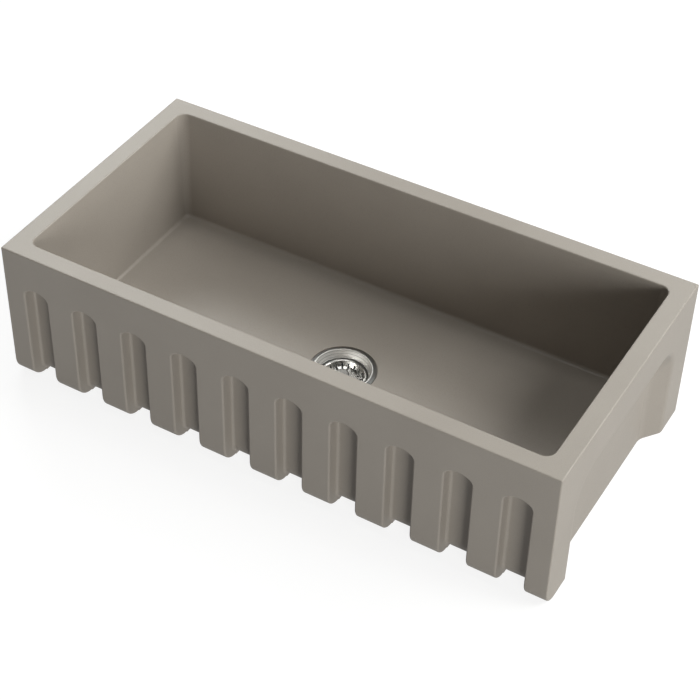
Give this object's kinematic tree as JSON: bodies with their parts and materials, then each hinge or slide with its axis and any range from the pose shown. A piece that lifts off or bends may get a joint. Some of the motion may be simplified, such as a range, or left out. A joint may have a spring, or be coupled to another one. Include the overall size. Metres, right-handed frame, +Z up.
{
  "type": "farmhouse apron front sink",
  "caption": "Rectangular single-bowl apron front sink with an arched, fluted apron, arched end recesses and a basket strainer whose slotted basket lifts out and turns.",
  "frame": {"origin": "centre of the basin's flat underside, on the plane that rests on the cabinet", "axes": "+X along the sink's length to the right seen from the front, +Y to the wall behind it with the fluted apron facing -Y, +Z up out of the bowl"},
  "size_m": [0.911, 0.46, 0.3303],
  "materials": {
    "clay": "matte warm taupe glaze with a fine speckle",
    "strainer_steel": "brushed stainless",
    "seal_rubber": "matte black",
    "fibre": "pressed fibre",
    "nut_brass": "as cast",
    "tube_chrome": "polished chrome on brass",
    "basket_steel": "polished stainless"
  },
  "bodies": {
    "sink": {"basin": "clay", "strainer_body": "strainer_steel", "flange_gasket": "seal_rubber", "rubber_washer": "seal_rubber", "friction_washer": "fibre", "lock_nut": "nut_brass", "tailpiece_washer": "seal_rubber", "tailpiece": "tube_chrome", "coupling_nut": "tube_chrome"},
    "plunger": {"basket_post": "basket_steel", "basket_knob": "basket_steel", "post_collar": "nut_brass", "stopper_seal": "seal_rubber", "seal_nut": "nut_brass"},
    "basket": {"basket_cup": "basket_steel"}
  },
  "joints": [
    {"name": "basket_lift", "type": "slide", "parent": "sink", "child": "plunger", "axis": [0, 0, 1], "range_m": [0, 0.26]},
    {"name": "basket_turn", "type": "hinge", "parent": "plunger", "child": "basket", "pos_m": [0, 0, 0.03], "axis": [0, 0, 1], "continuous": true}
  ]
}
